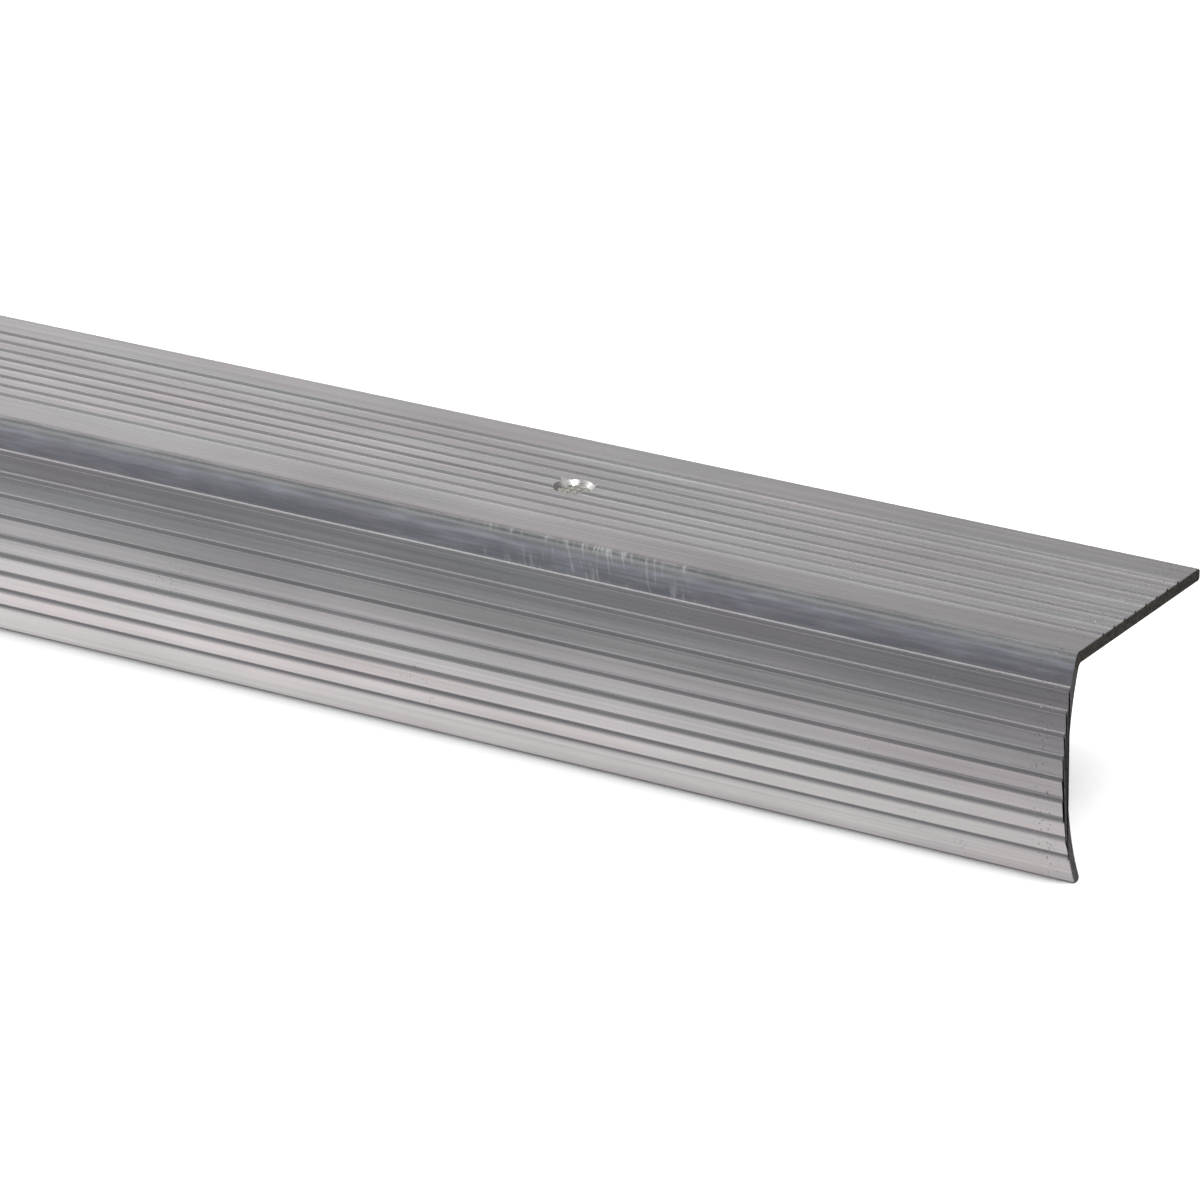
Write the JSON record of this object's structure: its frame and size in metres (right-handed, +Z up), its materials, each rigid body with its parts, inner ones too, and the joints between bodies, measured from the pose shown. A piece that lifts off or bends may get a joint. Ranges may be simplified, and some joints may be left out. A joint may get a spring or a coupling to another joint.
{
  "type": "stair edging strip",
  "caption": "Fluted aluminium angle strip that caps the front edge of a stair tread or threshold, held down by countersunk ring-shank nails.",
  "frame": {"origin": "on the underside of the top flange (the face that lies on the tread), at mid-length, on the line of the nail holes", "axes": "+X along the strip, +Y towards the back of the tread, +Z up out of the tread"},
  "size_m": [0.9144, 0.0288, 0.0249],
  "materials": {
    "mill_aluminium": "mill-finish extruded aluminium, fine lines along the length, light scuffs on the nose",
    "plated_steel": "zinc-plated steel wire, dull"
  },
  "bodies": {
    "strip": {"edging_extrusion": "mill_aluminium"},
    "nail_1": {"fixing_nail_1": "plated_steel"},
    "nail_2": {"fixing_nail_2": "plated_steel"},
    "nail_3": {"fixing_nail_3": "plated_steel"},
    "nail_4": {"fixing_nail_4": "plated_steel"},
    "nail_5": {"fixing_nail_5": "plated_steel"},
    "nail_6": {"fixing_nail_6": "plated_steel"}
  },
  "joints": [
    {"name": "nail_1_lift", "type": "slide", "parent": "strip", "child": "nail_1", "axis": [0, 0, 1], "range_m": [0, 0.025]},
    {"name": "nail_2_lift", "type": "slide", "parent": "strip", "child": "nail_2", "axis": [0, 0, 1], "range_m": [0, 0.025]},
    {"name": "nail_3_lift", "type": "slide", "parent": "strip", "child": "nail_3", "axis": [0, 0, 1], "range_m": [0, 0.025]},
    {"name": "nail_4_lift", "type": "slide", "parent": "strip", "child": "nail_4", "axis": [0, 0, 1], "range_m": [0, 0.025]},
    {"name": "nail_5_lift", "type": "slide", "parent": "strip", "child": "nail_5", "axis": [0, 0, 1], "range_m": [0, 0.025]},
    {"name": "nail_6_lift", "type": "slide", "parent": "strip", "child": "nail_6", "axis": [0, 0, 1], "range_m": [0, 0.025]}
  ]
}
